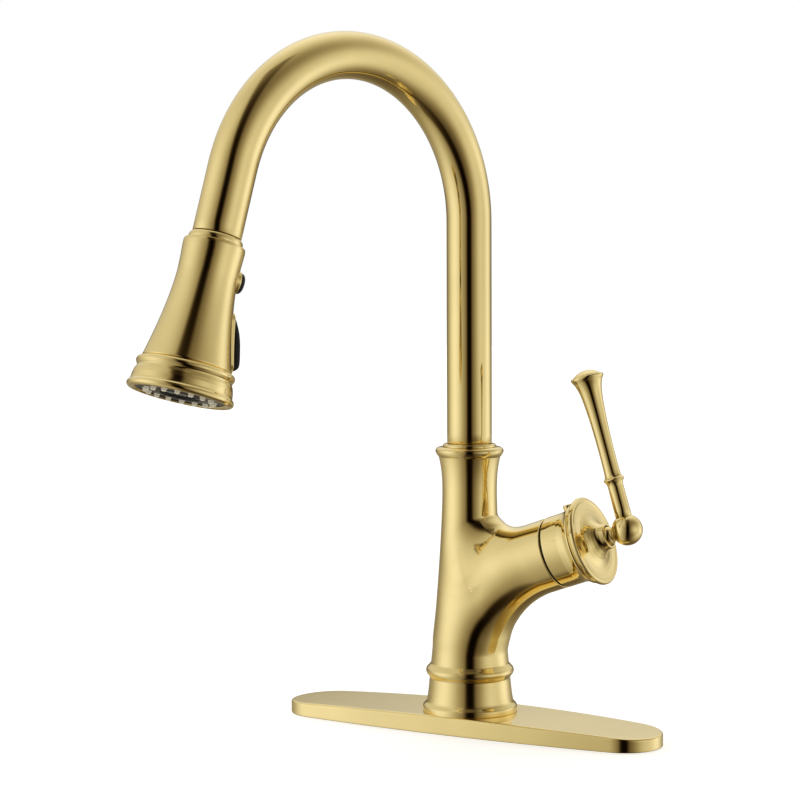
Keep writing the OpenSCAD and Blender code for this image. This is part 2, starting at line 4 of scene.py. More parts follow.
import bmesh
import bpy
import numpy as np
from mathutils import Matrix, Vector


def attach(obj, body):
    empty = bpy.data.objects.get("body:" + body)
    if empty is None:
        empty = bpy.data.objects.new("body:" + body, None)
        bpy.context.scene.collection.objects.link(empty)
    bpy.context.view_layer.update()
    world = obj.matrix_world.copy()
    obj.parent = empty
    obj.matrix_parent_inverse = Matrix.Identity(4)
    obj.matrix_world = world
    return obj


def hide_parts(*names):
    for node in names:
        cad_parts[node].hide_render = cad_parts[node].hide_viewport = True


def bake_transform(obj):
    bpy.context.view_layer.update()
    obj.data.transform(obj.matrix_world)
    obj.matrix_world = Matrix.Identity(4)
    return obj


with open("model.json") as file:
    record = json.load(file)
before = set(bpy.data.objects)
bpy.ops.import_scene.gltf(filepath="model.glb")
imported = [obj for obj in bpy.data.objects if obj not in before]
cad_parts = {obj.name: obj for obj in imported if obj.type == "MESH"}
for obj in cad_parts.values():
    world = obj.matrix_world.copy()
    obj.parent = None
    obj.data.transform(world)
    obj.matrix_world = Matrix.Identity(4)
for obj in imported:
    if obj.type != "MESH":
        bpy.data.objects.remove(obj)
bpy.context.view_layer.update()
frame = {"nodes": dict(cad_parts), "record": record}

MM = 0.001

# ---- the faucet's own lines, as in the CAD part, in millimetres ----

PLATE_L = 254.0
PLATE_W = 58.6
PLATE_END_R = 24.0
PLATE_H = 11.2
PLATE_END_H = 7.7
SEAT_Z = 11.0
WAIST_R = 16.8
WAIST_Z = 146.0
BODY_TOP = 174.6
BRANCH_Z = 91.1
BRANCH_RISE = 19.7
BRANCH_R = 21.8
BRANCH_LEN = 63.8
SWEEP_R = 75.0
SPOUT_TURN = -16.5
TUBE_R = 13.75
TUBE_WALL = 1.2
TUBE_Z = 176.9
ARCH_Z = 312.5
ARCH_R = 94.8
END_TILT = 17.1
END_LEN = 39.7
HOSE_R = 5.25
HEAD_WAIST_R = 16.8
SHELL_END = 113.4
NOZZLES = 16
NOZZLE_RING_R = 19.2
HEAD_TURN = 20.0
BUTTON_S = 62.0
ROCKER_S = 95.4
ROCKER_HALF = (14.6, 4.9)
ROCKER_CORNER = 3.4
BEZEL_HALF = (16.4, 6.5)
BEZEL_CORNER = 5.0
BEZEL_WALL = 1.2
SLOT_HALF = (16.0, 6.1)
SLOT_CORNER = 4.2
SHELL_WALL = 1.2
FACE_S = 130.5
PLUG_S = 79.6
PIVOT_S = 98.5
BALL_S = 112.3
BALL_R = 9.3
PIVOT_R = 5.84
LEVER_ANGLE = 86.6


# ---- frames: 4x4 matrices in millimetres ----


def turn(axis, degrees):
    return np.array(Matrix.Rotation(math.radians(degrees), 4, axis))


def move(x, y, z):
    return np.array(Matrix.Translation((x, y, z)))


WORLD = np.eye(4)
VALVE = move(0, 0, BRANCH_Z) @ turn("Y", 90 - BRANCH_RISE)
LEVER = VALVE @ move(0, 0, BALL_S) @ turn("Y", -LEVER_ANGLE)
SPOUT = turn("Z", SPOUT_TURN - 90)
TILT = math.radians(END_TILT)
HEAD = (
    SPOUT
    @ move(ARCH_R * (1 + math.cos(TILT)), 0, ARCH_Z + ARCH_R * math.sin(TILT))
    @ turn("Y", 180 - END_TILT)
    @ turn("Z", HEAD_TURN)
)


# ---- mesh helpers ----


def placed(points, matrix):
    """Points in a frame's millimetres, as row-frame metres."""
    points = np.asarray(points, float)
    return (points @ matrix[:3, :3].T + matrix[:3, 3]) * MM


def outwards(mesh):
    """Turns every face of a closed mesh outwards."""
    bm = bmesh.new()
    bm.from_mesh(mesh)
    bmesh.ops.recalc_face_normals(bm, faces=bm.faces[:])
    bm.to_mesh(mesh)
    bm.free()


def add_mesh(name, points, faces, matrix=WORLD, normals=None):
    mesh = bpy.data.meshes.new(name)
    mesh.from_pydata(placed(points, matrix).tolist(), [], faces)
    mesh.update()
    mesh.polygons.foreach_set("use_smooth", [True] * len(mesh.polygons))
    if normals is None:
        outwards(mesh)
    else:
        turned = np.asarray(normals, float) @ matrix[:3, :3].T
        mesh.normals_split_custom_set_from_vertices(turned.tolist())
    obj = bpy.data.objects.new(name, mesh)
    bpy.context.scene.collection.objects.link(obj)
    return obj


def rounded(points):
    """A profile of (radius, height, corner radius) as a dense (radius, height) line."""
    out = []
    count = len(points)
    for i, (x, y, fillet) in enumerate(points):
        here = np.array([x, y], float)
        if fillet <= 0 or i == 0 or i == count - 1:
            out.append(here)
            continue
        before = np.array(points[i - 1][:2], float) - here
        after = np.array(points[i + 1][:2], float) - here
        len_before, len_after = np.linalg.norm(before), np.linalg.norm(after)
        before, after = before / len_before, after / len_after
        half = 0.5 * math.acos(float(np.clip(before @ after, -1, 1)))
        if half > math.radians(87):
            out.append(here)
            continue
        reach = min(fillet / math.tan(half), 0.48 * len_before, 0.48 * len_after)
        radius = reach * math.tan(half)
        middle = here + (before + after) / np.linalg.norm(before + after) * (
            radius / math.sin(half)
        )
        first, last = here + before * reach - middle, here + after * reach - middle
        sweep = math.atan2(first[0] * last[1] - first[1] * last[0], first @ last)
        steps = max(3, int(abs(sweep) / math.radians(12)))
        for k in range(steps + 1):
            a = sweep * k / steps
            c, s = math.cos(a), math.sin(a)
            out.append(middle + (c * first[0] - s * first[1], s * first[0] + c * first[1]))
    return held(out)


def held(line, near=0.2, longest=4.0):
    """Adds points near the ends of each long stretch, so that shading stays inside it."""
    out = [line[0]]
    for a, b in zip(line[:-1], line[1:]):
        length = float(np.linalg.norm(b - a))
        if length > 1.0:
            stops = [near / length]
            stops += list(np.linspace(0, 1, int(length / longest) + 2)[1:-1])
            stops += [1 - near / length]
            out += [a + (b - a) * t for t in stops]
        out.append(b)
    return out


def smooth_line(points, steps=8):
    """A Catmull-Rom curve through (radius, height) points."""
    p = [np.array(q, float) for q in points]
    p = [2 * p[0] - p[1]] + p + [2 * p[-1] - p[-2]]
    out = []
    for i in range(1, len(p) - 2):
        for k in range(steps):
            t = k / steps
            out.append(
                0.5
                * (
                    2 * p[i]
                    + (p[i + 1] - p[i - 1]) * t
                    + (2 * p[i - 1] - 5 * p[i] + 4 * p[i + 1] - p[i + 2]) * t**2
                    + (3 * p[i] - p[i - 1] - 3 * p[i + 1] + p[i + 2]) * t**3
                )
            )
    out.append(p[-2])
    return out


def lathe(name, line, matrix=WORLD, segments=128):
    """Turns a (radius, height) line round its frame's Z axis, outside to the line's right."""
    points, faces, rings = [], [], []
    angles = np.linspace(0, 2 * math.pi, segments, endpoint=False)
    for r, z in line:
        if r < 1e-4:
            rings.append([len(points)])
            points.append((0, 0, z))
        else:
            rings.append(list(range(len(points), len(points) + segments)))
            points += [(r * math.cos(a), r * math.sin(a), z) for a in angles]
    for low, high in zip(rings[:-1], rings[1:]):
        for k in range(segments):
            j = (k + 1) % segments
            quad = [low[k % len(low)], low[j % len(low)], high[j % len(high)], high[k % len(high)]]
            face = list(dict.fromkeys(quad))
            if len(face) > 2:
                faces.append(face)
    return add_mesh(name, points, faces, matrix)


# ---- materials ----


class Nodes:
    """Short names for building one node material."""

    def __init__(self, name):
        self.material = bpy.data.materials.new(name)
        self.material.use_nodes = True
        self.tree = self.material.node_tree
        self.shader = self.tree.nodes["Principled BSDF"]

    def add(self, kind, **settings):
        node = self.tree.nodes.new(kind)
        for key, value in settings.items():
            if key in node.inputs:
                node.inputs[key].default_value = value
            else:
                setattr(node, key, value)
        return node

    def link(self, a, b):
        self.tree.links.new(a, b)

    def set(self, **values):
        for key, value in values.items():
            self.shader.inputs[key.replace("_", " ")].default_value = value

    def place(self, stretch=(1, 1, 1)):
        coords = self.add("ShaderNodeTexCoord")
        mapping = self.add("ShaderNodeMapping")
        mapping.inputs["Scale"].default_value = stretch
        self.link(coords.outputs["Object"], mapping.inputs["Vector"])
        return mapping.outputs["Vector"]

    def noise(self, where, scale, detail=3.0, roughness=0.5):
        node = self.add("ShaderNodeTexNoise")
        node.inputs["Scale"].default_value = scale
        node.inputs["Detail"].default_value = detail
        node.inputs["Roughness"].default_value = roughness
        self.link(where, node.inputs["Vector"])
        return node.outputs["Fac"]

    def ramp(self, fac, low, high, start=0.35, end=0.65):
        node = self.add("ShaderNodeValToRGB")
        first, last = node.color_ramp.elements
        first.position, last.position = start, end
        first.color, last.color = low, high
        self.link(fac, node.inputs["Fac"])
        return node.outputs["Color"]

    def span(self, fac, low, high, start=0.35, end=0.65):
        node = self.add("ShaderNodeMapRange")
        node.inputs["From Min"].default_value = start
        node.inputs["From Max"].default_value = end
        node.inputs["To Min"].default_value = low
        node.inputs["To Max"].default_value = high
        self.link(fac, node.inputs["Value"])
        return node.outputs["Result"]

    def bump(self, height, strength, distance):
        node = self.add("ShaderNodeBump")
        node.inputs["Strength"].default_value = strength
        node.inputs["Distance"].default_value = distance
        self.link(height, node.inputs["Height"])
        self.link(node.outputs["Normal"], self.shader.inputs["Normal"])


def gold_material(name, tone=(0.92, 0.745, 0.35), rough=0.09, grain=(1, 1, 1)):
    n = Nodes(name)
    where = n.place()
    brushed = n.place(grain)
    cloud = n.noise(where, 24.0, 3.0)
    fine = n.noise(brushed, 2600.0, 2.0, 0.6)
    light = tuple(min(1.0, c * 1.03) for c in tone) + (1,)
    dark = tuple(c * 0.955 for c in tone) + (1,)
    n.link(n.ramp(cloud, dark, light), n.shader.inputs["Base Color"])
    n.link(n.span(cloud, rough - 0.015, rough + 0.02), n.shader.inputs["Roughness"])
    n.bump(fine, 0.05, 0.00002)
    n.set(Metallic=1.0)
    return n.material


def metal_material(name, tone, rough, grain=(1, 1, 1)):
    n = Nodes(name)
    cloud = n.noise(n.place(), 60.0, 4.0)
    lines = n.noise(n.place(grain), 900.0, 2.0)
    n.link(
        n.ramp(cloud, tuple(c * 0.88 for c in tone) + (1,), tone + (1,)),
        n.shader.inputs["Base Color"],
    )
    n.link(n.span(lines, rough - 0.05, rough + 0.08), n.shader.inputs["Roughness"])
    n.bump(lines, 0.12, 0.00005)
    n.set(Metallic=1.0)
    return n.material


def plastic_material(name, tone, rough, grain_scale=900.0, strength=0.1, gloss=0.5):
    n = Nodes(name)
    cloud = n.noise(n.place(), 40.0, 4.0)
    grain = n.noise(n.place(), grain_scale, 2.0)
    n.link(
        n.ramp(cloud, tuple(c * 0.85 for c in tone) + (1,), tuple(tone) + (1,)),
        n.shader.inputs["Base Color"],
    )
    n.link(n.span(cloud, rough - 0.04, rough + 0.05), n.shader.inputs["Roughness"])
    n.bump(grain, strength, 0.00006)
    n.shader.inputs["Specular IOR Level"].default_value = gloss
    return n.material


def braid_material():
    n = Nodes("braided_hose")
    wave = n.add("ShaderNodeTexWave")
    wave.inputs["Scale"].default_value = 260.0
    wave.inputs["Distortion"].default_value = 1.5
    n.link(n.place((1, 1, 1)), wave.inputs["Vector"])
    other = n.add("ShaderNodeTexWave")
    other.bands_direction = "Z"
    other.inputs["Scale"].default_value = 320.0
    n.link(n.place((1, 1, 1)), other.inputs["Vector"])
    mix = n.add("ShaderNodeMath", operation="MULTIPLY")
    n.link(wave.outputs["Fac"], mix.inputs[0])
    n.link(other.outputs["Fac"], mix.inputs[1])
    weave = mix.outputs["Value"]
    n.link(
        n.ramp(weave, (0.07, 0.07, 0.075, 1), (0.36, 0.36, 0.38, 1), 0.1, 0.7),
        n.shader.inputs["Base Color"],
    )
    n.link(n.span(weave, 0.62, 0.42), n.shader.inputs["Roughness"])
    n.bump(weave, 0.5, 0.0003)
    return n.material


MATERIALS = {
    "satin_gold": gold_material("satin_gold"),
    "plain_brass": metal_material("plain_brass", (0.78, 0.58, 0.26), 0.3),
    "bright_steel": metal_material("bright_steel", (0.62, 0.63, 0.66), 0.28),
    "foam_rubber": plastic_material("foam_rubber", (0.06, 0.06, 0.065), 0.85, 500.0, 0.5),
    "black_rubber": plastic_material("black_rubber", (0.035, 0.035, 0.038), 0.6),
    "bearing_plastic": plastic_material("bearing_plastic", (0.74, 0.74, 0.71), 0.4),
    "dark_plastic": plastic_material("dark_plastic", (0.05, 0.053, 0.06), 0.42),
    "black_plastic": plastic_material("black_plastic", (0.012, 0.012, 0.014), 0.3, gloss=0.25),
    "red_plastic": plastic_material("red_plastic", (0.5, 0.06, 0.04), 0.4),
    "blue_plastic": plastic_material("blue_plastic", (0.04, 0.12, 0.5), 0.4),
    "nozzle_rubber": plastic_material("nozzle_rubber", (0.62, 0.57, 0.44), 0.5),
    "braided_hose": braid_material(),
    "ceramic": plastic_material("ceramic", (0.82, 0.81, 0.78), 0.15, 1500.0, 0.02),
    "magnet": metal_material("magnet", (0.34, 0.34, 0.36), 0.35),
}

slots = {s["node"]: s["material_slot"] for s in frame["record"]["subparts"]}


def finish_piece(piece, body, slot, *nodes, material=None):
    """Gives a new piece its material, the body that it rides on, and the nodes it stands for."""
    piece.data.materials.clear()
    piece.data.materials.append(material or MATERIALS[slot])
    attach(piece, body)
    if nodes:
        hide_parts(*nodes)
    return piece


for node_name, node_object in frame["nodes"].items():
    node_object.data.materials.clear()
    node_object.data.materials.append(MATERIALS[slots[node_name]])
# the bush is only seen as the line between branch and hub; the dark plastic on it is painted shade for
# that gap
frame["nodes"]["hub_bush"].data.materials[0] = MATERIALS["dark_plastic"]


# ---- deck plate ----


def plate_outline(inset, count=56):
    """The bowed outline, moved inwards, as points that run once round it."""
    end_x = PLATE_L / 2 - PLATE_END_R
    bow_r = (end_x**2 + PLATE_W**2 / 4 - PLATE_END_R**2) / (PLATE_W - 2 * PLATE_END_R)
    lean = math.atan2(end_x, bow_r - PLATE_W / 2)
    points = []
    ends = np.linspace(-(math.pi / 2 - lean), math.pi / 2 - lean, count)
    bows = np.linspace(lean, -lean, count)
    for a in ends:
        r = PLATE_END_R - inset
        points.append((end_x + r * math.cos(a), r * math.sin(a)))
    for a in bows[1:-1]:
        r = bow_r - inset
        points.append((r * math.sin(a), PLATE_W / 2 - bow_r + r * math.cos(a)))
    whole = points + [(-x, -y) for x, y in points]
    return np.array(whole)


def plate_top(x, drop=0.0):
    fall = PLATE_H - PLATE_END_H
    radius = (PLATE_L**2 / 4 + fall**2) / (2 * fall)
    return PLATE_H - radius + np.sqrt((radius - drop) ** 2 - x**2)


def build_plate():
    edge = 1.3
    loops = []
    inner = [(22.4, 0.0), (20.0, 0.0), (14.0, 0.0), (8.0, 0.0), (3.4, 0.0), (1.9, 0.0)]
    for inset, drop in inner:
        ring = plate_outline(inset)
        loops.append(np.c_[ring, plate_top(ring[:, 0]) - drop])
    for k in range(9):
        a = math.pi / 2 * k / 8
        ring = plate_outline(edge * (1 - math.sin(a)))
        loops.append(np.c_[ring, plate_top(ring[:, 0]) - edge * (1 - math.cos(a))])
    outer = plate_outline(0)
    top = plate_top(outer[:, 0]) - edge
    for share in (0.9, 0.5, 0.12):
        loops.append(np.c_[outer, top * share])
    loops.append(np.c_[outer, np.full(len(outer), 0.35)])
    loops.append(np.c_[plate_outline(0.35), np.zeros(len(outer))])
    wall = plate_outline(2.0)
    loops.append(np.c_[wall, np.zeros(len(wall))])
    loops.append(np.c_[wall, plate_top(wall[:, 0], 2.0)])
    ceiling = plate_outline(20.0)
    loops.append(np.c_[ceiling, plate_top(ceiling[:, 0], 2.0)])
    count = len(outer)
    points = np.vstack(loops)
    faces = []
    for i in range(len(loops) - 1):
        for k in range(count):
            j = (k + 1) % count
            faces.append([i * count + k, i * count + j, (i + 1) * count + j, (i + 1) * count + k])
    # the middle strips, above and below, cross from side to side
    arc, half = 56, count // 2
    ladder = [(k, arc - 1 - k) for k in range(arc // 2)][::-1]
    ladder += [(count + arc - 1 - k, k) for k in range(arc, half)]
    ladder += [(half + arc - 1 - k, half + k) for k in range(arc // 2)]
    for start in (0, (len(loops) - 1) * count):
        for (a, b), (c, d) in zip(ladder[:-1], ladder[1:]):
            faces.append([start + a, start + c, start + d, start + b])
    return add_mesh("plate", points, faces)


# ---- body casting: the neck, the branch and the sweep under it in one blended skin ----

# the blended skin lies between these heights, and ends here along the branch
SKIN_FOOT = 42.0
SKIN_TOP = WAIST_Z
SKIN_END = 54.0
SKIN_CELL = 1.1

def neck_r(z):
    low = WAIST_R + 0.0098 * np.maximum(WAIST_Z - z, 0) ** 1.42
    return low + 0.0005 * np.maximum(z - WAIST_Z, 0) ** 2.7


def eased(x, start, end):
    t = np.clip((x - start) / (end - start), 0, 1)
    return t * t * (3 - 2 * t)


def merge(a, b, towards_a, towards_b, reach):
    """The union of two skins, with a wide fillet where they meet at an angle."""
    turned = np.clip(1 - np.sum(towards_a * towards_b, axis=1), 0, 1)
    width = 0.01 + reach * (0.22 + 0.78 * turned)
    h = np.maximum(width - np.abs(a - b), 0) / width
    return np.minimum(a, b) - h * h * width / 4


def unit(v):
    return v / np.maximum(np.linalg.norm(v, axis=1), 1e-6)[:, None]


def casting_field(p):
    """Distance outside the casting's skin, in millimetres, at points p."""
    x, y, z = p[:, 0], p[:, 1], p[:, 2]
    slope = (neck_r(z + 0.5) - neck_r(z - 0.5)) / 1.0
    body = (np.hypot(x, y) - neck_r(z)) / np.sqrt(1 + slope**2)
    outwards_body = unit(np.stack([x, y, np.zeros_like(z)], 1))
    local = (p - VALVE[:3, 3]) @ VALVE[:3, :3]
    off = np.stack([local[:, 0], local[:, 1], np.minimum(local[:, 2] - 10, 0)], 1)
    branch = np.linalg.norm(off, axis=1) - BRANCH_R
    outwards_branch = unit(off) @ VALVE[:3, :3].T
    low = BRANCH_Z - SWEEP_R * math.tan(math.radians(90 - BRANCH_RISE) / 2)
    dx, dz = x - SWEEP_R, z - low
    span = math.radians(90 - BRANCH_RISE)
    along = np.clip(math.pi - np.arctan2(dz, dx), 0, span)
    along = np.where(dz < 0, 0, along)
    cx = SWEEP_R - SWEEP_R * np.cos(along)
    cz = low + SWEEP_R * np.sin(along)
    off = np.stack([x - cx, y, z - cz], 1)
    under = np.linalg.norm(off, axis=1) - BRANCH_R
    outwards_under = unit(off)
    reach = 10.0 * (1 - eased(local[:, 2], 30, 50))
    side = merge(branch, under, outwards_branch, outwards_under, reach)
    nearer = (branch < under)[:, None]
    outwards_side = np.where(nearer, outwards_branch, outwards_under)
    reach = 22.0 * eased(z, 43, 58) * (1 - eased(z, 128, 140))
    return merge(body, side, outwards_body, outwards_side, reach)


def field_slope(p, step=0.05):
    out = np.empty_like(p)
    for k in range(3):
        d = np.zeros(3)
        d[k] = step
        out[:, k] = (casting_field(p + d) - casting_field(p - d)) / (2 * step)
    return out


def skin(low, high, cell):
    """Surface nets on casting_field: a quad mesh near its zero level, then moved onto it."""
    axes = [np.arange(a, b + cell, cell) for a, b in zip(low, high)]
    shape = tuple(len(a) for a in axes)
    grid = np.stack(np.meshgrid(*axes, indexing="ij"), -1).reshape(-1, 3)
    value = casting_field(grid).reshape(shape)
    inside = value < 0
    nx, ny, nz = (n - 1 for n in shape)
    total = np.zeros((nx, ny, nz, 3))
    count = np.zeros((nx, ny, nz))
    for axis in range(3):
        a = [slice(None)] * 3
        b = [slice(None)] * 3
        a[axis], b[axis] = slice(0, -1), slice(1, None)
        va, vb = value[tuple(a)], value[tuple(b)]
        crossed = (va < 0) != (vb < 0)
        t = np.where(crossed, va / np.where(crossed, va - vb, 1), 0)
        others = [k for k in range(3) if k != axis]
        for i in (0, 1):
            for j in (0, 1):
                cut = [slice(None)] * 3
                cut[others[0]] = slice(i, shape[others[0]] - 1 + i)
                cut[others[1]] = slice(j, shape[others[1]] - 1 + j)
                hit = crossed[tuple(cut)]
                part = np.zeros(hit.shape + (3,))
                part[..., axis] = t[tuple(cut)]
                part[..., others[0]] = i
                part[..., others[1]] = j
                total += part * hit[..., None]
                count += hit
    active = count > 0
    index = -np.ones(active.shape, int)
    index[active] = np.arange(active.sum())
    corner = np.argwhere(active)
    points = np.array(low) + cell * (corner + total[active] / count[active][:, None])
    faces = []
    for axis in range(3):
        b, c = (axis + 1) % 3, (axis + 2) % 3
        here = [slice(1, -1)] * 3
        here[axis] = slice(0, -1)
        there = list(here)
        there[axis] = slice(1, None)
        first, second = inside[tuple(here)], inside[tuple(there)]
        for cellpos in np.argwhere(first != second):
            base = cellpos + 1
            base[axis] = cellpos[axis]
            quad = []
            for db, dc in ((0, 0), (-1, 0), (-1, -1), (0, -1)):
                q = base.copy()
                q[b] += db
                q[c] += dc
                quad.append(int(index[tuple(q)]))
            faces.append(quad[::-1] if second[tuple(cellpos)] else quad)
    for _ in range(4):
        slope = field_slope(points)
        size = np.maximum((slope**2).sum(1), 1e-6)
        points = points - slope * (casting_field(points) / size)[:, None]
    return points, faces


def trimmed(points, faces, planes):
    """Cuts the skin at planes, each (point, outward direction), and keeps what is inside."""
    bm = bmesh.new()
    verts = [bm.verts.new(p) for p in points]
    for f in faces:
        bm.faces.new([verts[i] for i in f])
    for point, outward in planes:
        bmesh.ops.bisect_plane(
            bm,
            geom=bm.verts[:] + bm.edges[:] + bm.faces[:],
            dist=0.0005,
            plane_co=point,
            plane_no=outward,
            clear_outer=True,
        )
    bmesh.ops.remove_doubles(bm, verts=bm.verts[:], dist=0.02)
    bm.verts.index_update()
    out = np.array([v.co for v in bm.verts])
    cut = [[v.index for v in f.verts] for f in bm.faces]
    edge = np.array([any(e.is_boundary for e in v.link_edges) for v in bm.verts])
    bm.free()
    return out, cut, edge


def add_rings(points, normals, faces, members, matrix, line, flip):
    """Carries an open round edge on along a (radius, height) line in matrix's frame."""
    inverse = np.linalg.inv(matrix)
    local = points[members] @ inverse[:3, :3].T + inverse[:3, 3]
    angle = np.arctan2(local[:, 1], local[:, 0])
    order = np.argsort(angle)
    ring = [int(members[i]) for i in order]
    angle = angle[order]
    line = np.array(line, float)
    tangent = np.gradient(line, axis=0)
    r0, z0 = line[0]
    spin = matrix[:3, :3]
    circle = np.c_[np.cos(angle), np.sin(angle)]
    points[ring] = np.c_[circle * r0, np.full(len(ring), z0)] @ spin.T + matrix[:3, 3]
    blocks, block_normals, base = [], [], len(points)
    last = ring
    for k in range(1, len(line)):
        r, z = line[k]
        dr, dz = tangent[k]
        size = math.hypot(dr, dz)
        n_r, n_z = (dz / size, -dr / size) if not flip else (-dz / size, dr / size)
        blocks.append(np.c_[circle * r, np.full(len(ring), z)] @ spin.T + matrix[:3, 3])
        block_normals.append(np.c_[circle * n_r, np.full(len(ring), n_z)] @ spin.T)
        here = list(range(base, base + len(ring)))
        base += len(ring)
        for i in range(len(ring)):
            j = (i + 1) % len(ring)
            quad = [last[i], last[j], here[j], here[i]]
            faces.append(quad if not flip else quad[::-1])
        last = here
    return np.vstack([points] + blocks), np.vstack([normals] + block_normals)


def build_casting():
    foot, top, end = SKIN_FOOT, SKIN_TOP, SKIN_END
    axis = VALVE[:3, 2]
    points, faces = skin((-29, -29, foot - 5), (66, 29, top + 4), SKIN_CELL)
    planes = [
        ((0, 0, foot), (0, 0, -1)),
        ((0, 0, top), (0, 0, 1)),
        (tuple(VALVE[:3, 3] + axis * end), tuple(axis)),
    ]
    points, faces, edge = trimmed(points, faces, planes)
    normals = field_slope(points)
    normals /= np.linalg.norm(normals, axis=1)[:, None]
    far = (points - VALVE[:3, 3]) @ axis
    low_ring = np.flatnonzero(edge & (points[:, 2] < foot + 0.3))
    top_ring = np.flatnonzero(edge & (points[:, 2] > top - 0.3))
    end_ring = np.flatnonzero(edge & (far > end - 0.3) & (points[:, 2] < top - 1))

    bead = smooth_line(
        [(24.25, 40.6), (25.5, 39.15), (26.64, 37.9), (27.11, 36.7), (27.08, 35.5)]
        + [(26.5, 34.2), (25.5, 32.95), (24.95, 31.75)]
    )
    foot_side = smooth_line(
        [(24.93, 31.4), (25.12, 30.2), (25.47, 26.6), (26.07, 21.6), (26.5, 19.1)]
        + [(26.75, 17.9), (27.3, 16.65), (28.35, 15.45), (28.95, 14.7), (29.2, 13.9)]
    )
    low_line = [(neck_r(z), z) for z in np.linspace(foot, 41.2, 3)]
    low_line += list(bead) + list(foot_side)
    low_line += [(29.2, 13.0), (29.2, 11.6), (29.1, 11.2), (28.8, SEAT_Z)]
    top_line = [(neck_r(z), z) for z in np.linspace(top, 168.0, 24)]
    top_line += list(
        smooth_line(
            [(19.05, 168.5), (19.9, 169.5), (20.55, 170.5), (20.9, 171.4), (20.97, 172.1)]
            + [(20.7, 173.1), (20.0, 173.9), (18.9, 174.4), (17.6, BODY_TOP)]
        )
    )
    top_line += [(17.2, BODY_TOP), (13.6, BODY_TOP), (13.4, 174.3), (13.4, 171.0)]
    end_line = [(BRANCH_R, s) for s in (end, 56, 58.5, 61, 62.8, 63.2)]
    for k in range(1, 7):
        a = math.pi / 2 * k / 6
        end_line.append((BRANCH_R - 0.5 + 0.5 * math.cos(a), 63.3 + 0.5 * math.sin(a)))
    end_line += [(21.0, BRANCH_LEN), (20.2, BRANCH_LEN), (19.75, 63.6), (19.75, 61.0)]

    args = (points, normals, faces)
    points, normals = add_rings(*args, low_ring, WORLD, low_line, True)
    points, normals = add_rings(points, normals, faces, top_ring, WORLD, top_line, False)
    points, normals = add_rings(points, normals, faces, end_ring, VALVE, end_line, False)
    return add_mesh("casting", points, faces, WORLD, normals)


# ---- spout ----


def spout_path(low, end, step=3.0):
    """The riser, the arch and the straight end, in the spout's own frame."""
    path = [(0, 0, z) for z in np.linspace(low, ARCH_Z, max(2, int((ARCH_Z - low) / 6)))]
    turn_by = math.pi - TILT
    for a in np.linspace(0, turn_by, int(turn_by * ARCH_R / step))[1:]:
        path.append((ARCH_R - ARCH_R * math.cos(a), 0, ARCH_Z + ARCH_R * math.sin(a)))
    last = np.array(path[-1])
    down = np.array((math.sin(TILT), 0, -math.cos(TILT)))
    for s in np.linspace(0, end, 8)[1:]:
        path.append(tuple(last + down * s))
    return path


def build_tube():
    segments = 96
    outer_path = spout_path(TUBE_Z, END_LEN)
    lip = 0.25
    inner_r = TUBE_R - TUBE_WALL
    first = np.array(outer_path[0])
    last, before = np.array(outer_path[-1]), np.array(outer_path[-2])
    down = (last - before) / np.linalg.norm(last - before)
    stations = [(first, (0, 0, 1), TUBE_R - lip), (first + (0, 0, lip), (0, 0, 1), TUBE_R)]
    centres = np.array(outer_path)
    along = np.gradient(centres, axis=0)
    along /= np.linalg.norm(along, axis=1)[:, None]
    along[0], along[-1] = (0, 0, 1), down
    for c, t in zip(centres[1:-1], along[1:-1]):
        stations.append((c, t, TUBE_R))
    stations.append((last - down * lip, down, TUBE_R))
    stations.append((last - down * lip * 0.3, down, TUBE_R - lip * 0.3))
    stations.append((last, down, TUBE_R - lip))
    stations.append((last, down, inner_r + 0.05))
    for c, t in zip(centres[::-1], along[::-1]):
        stations.append((c, t, inner_r))
    side = np.array((0, 1, 0))
    angles = np.linspace(0, 2 * math.pi, segments, endpoint=False)
    points, faces = [], []
    for centre, tangent, radius in stations:
        out = np.cross(side, np.array(tangent, float))
        for a in angles:
            points.append(centre + radius * (math.cos(a) * out + math.sin(a) * side))
    rings = len(stations)
    for i in range(rings):
        n = (i + 1) % rings
        for k in range(segments):
            j = (k + 1) % segments
            here, there = i * segments, n * segments
            faces.append([here + k, here + j, there + j, there + k])
    return add_mesh("spout", points, faces, SPOUT)


def build_hose():
    """The stretch of braided hose that is drawn out of the spout."""
    line = [(0, 4.2)] + [(HOSE_R, s) for s in np.linspace(4.2, 42.8, 60)] + [(0, 42.8)]
    return lathe("drawn_hose", line, HEAD, 48)


# ---- spray head ----


def trumpet_r(s):
    return HEAD_WAIST_R + 0.015 * max(s - 61.7, 0) ** 1.6


def build_collar():
    line = rounded(
        [(7.4, 40.1, 0), (13.4, 40.1, 0.4), (14.3, 40.5, 0.8), (15.0, 41.5, 1.0)]
        + [(15.25, 42.8, 0.6), (15.2, 43.9, 0.2), (14.2, 44.0, 0.1), (14.0, 50.0, 0)]
        + [(7.4, 50.0, 0), (7.4, 40.1, 0)]
    )
    return lathe("collar", line, HEAD, 128)


def build_nose():
    line = rounded(
        [(11.2, 37.2, 0), (11.2, 34.2, 0.2), (11.5, 33.8, 0.1), (11.8, 34.2, 0.3)]
        + [(11.8, 40.2, 0), (11.2, 40.2, 0), (11.2, 37.2, 0)]
    )
    return lathe("nose", line, HEAD, 96)


def corner_cut(gap, radius):
    """How far a rounded corner has drawn in, at this distance from the end."""
    gap = min(max(gap, 0), radius)
    return radius - math.sqrt(radius**2 - (radius - gap) ** 2)


